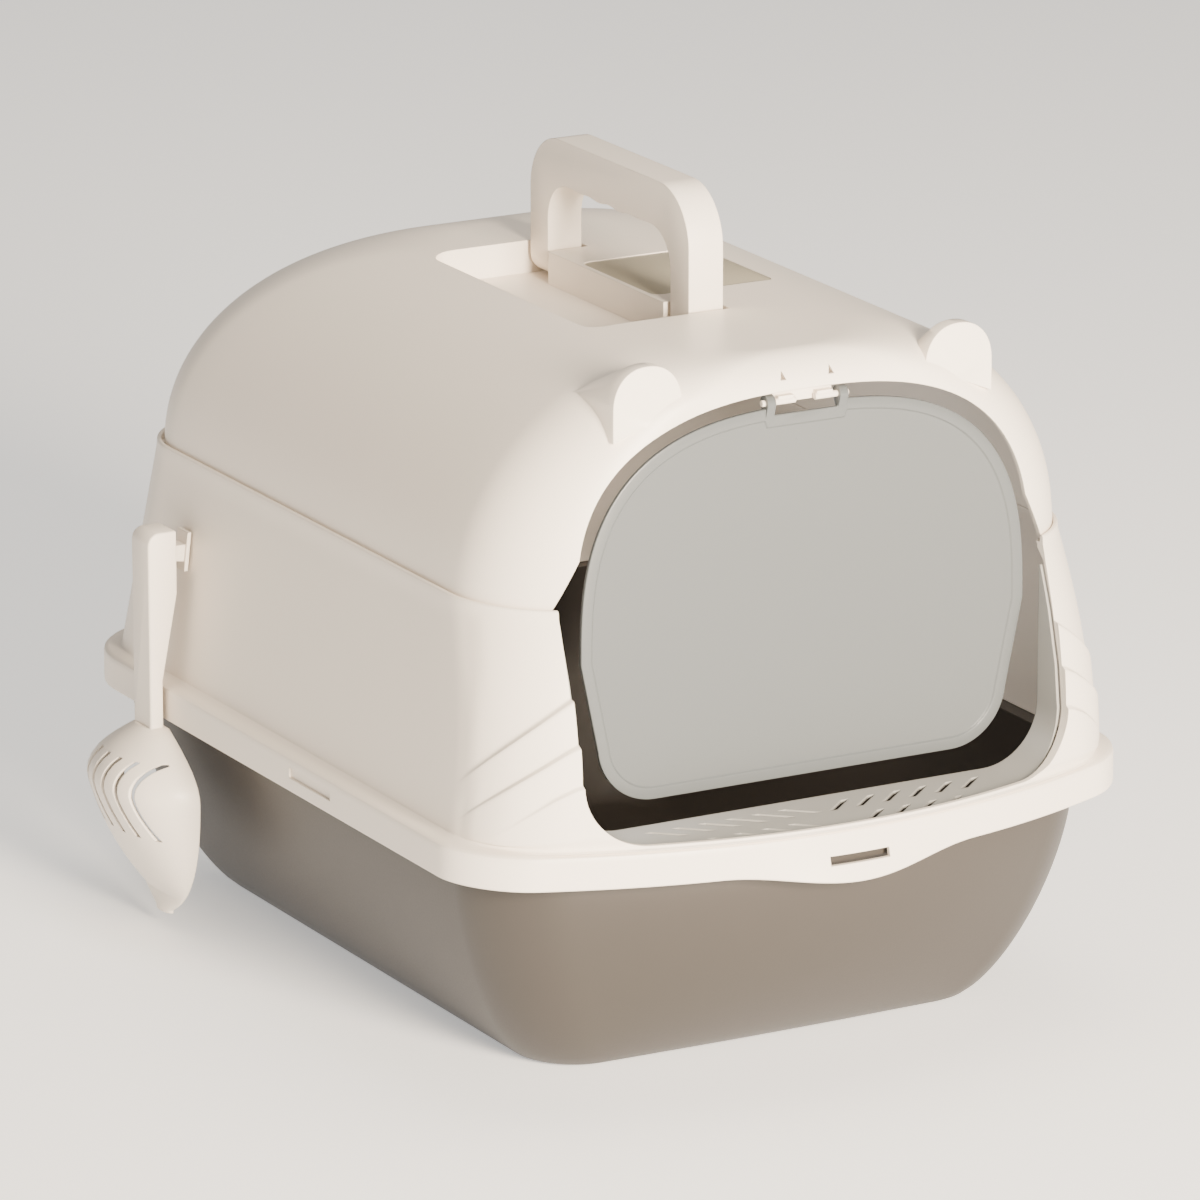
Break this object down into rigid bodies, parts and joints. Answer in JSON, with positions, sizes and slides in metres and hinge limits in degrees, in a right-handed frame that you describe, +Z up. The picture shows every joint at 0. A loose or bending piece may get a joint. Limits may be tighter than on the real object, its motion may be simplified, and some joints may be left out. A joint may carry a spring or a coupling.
{
  "type": "hooded cat litter box",
  "caption": "Hooded cat litter box: tapered tray, hood frame, domed lid with cat ears and folding handle, swinging smoked flap, slotted entry step and a scoop on its side.",
  "frame": {"origin": "centre of the tray's flat base, on the surface the box stands on", "axes": "+Z up, -Y out through the entry flap at the front, +X to the right for someone facing the entry"},
  "size_m": [0.4463, 0.54, 0.4515],
  "materials": {
    "cream": "fine satin moulded polypropylene",
    "taupe": "fine satin moulded polypropylene",
    "pale_grey": "satin moulded polypropylene",
    "smoke": "smoked translucent sheet",
    "tan": "satin moulded polypropylene",
    "carbon": "open charcoal foam"
  },
  "bodies": {
    "tray": {"litter_tray": "taupe"},
    "hood": {"hood_frame": "cream", "step_grille": "pale_grey", "scoop_hook": "cream", "lid_pin_left": "cream", "lid_pin_right": "cream"},
    "lid": {"top_cover": "cream", "door_hinge_bracket": "cream", "handle_pin_front": "cream", "handle_pin_rear": "cream"},
    "basket": {"filter_basket": "cream", "charcoal_filter": "carbon"},
    "hatch": {"filter_cover": "tan"},
    "handle": {"carry_handle": "cream"},
    "flap": {"door_flap": "smoke"},
    "scoop": {"scoop": "cream"}
  },
  "joints": [
    {"name": "hood_lift", "type": "slide", "parent": "tray", "child": "hood", "axis": [0, 0, 1], "range_m": [0, 0.25]},
    {"name": "lid_hinge", "type": "hinge", "parent": "hood", "child": "lid", "pos_m": [0, 0.2225, 0.269], "axis": [-1, 0, 0], "range_deg": [0, 95]},
    {"name": "flap_swing", "type": "hinge", "parent": "lid", "child": "flap", "pos_m": [0, -0.229, 0.3625], "axis": [1, 0, 0], "range_deg": [-75, 75]},
    {"name": "handle_fold", "type": "hinge", "parent": "lid", "child": "handle", "pos_m": [0, -0.0355, 0.381], "axis": [0, -1, 0], "range_deg": [0, 88]},
    {"name": "basket_lift", "type": "slide", "parent": "lid", "child": "basket", "axis": [0, 0, 1], "range_m": [0, 0.035]},
    {"name": "hatch_lift", "type": "slide", "parent": "basket", "child": "hatch", "axis": [0, 0, 1], "range_m": [0, 0.035]},
    {"name": "scoop_lift", "type": "slide", "parent": "hood", "child": "scoop", "axis": [-0.4, 0, 0.9165], "range_m": [0, 0.1]}
  ]
}
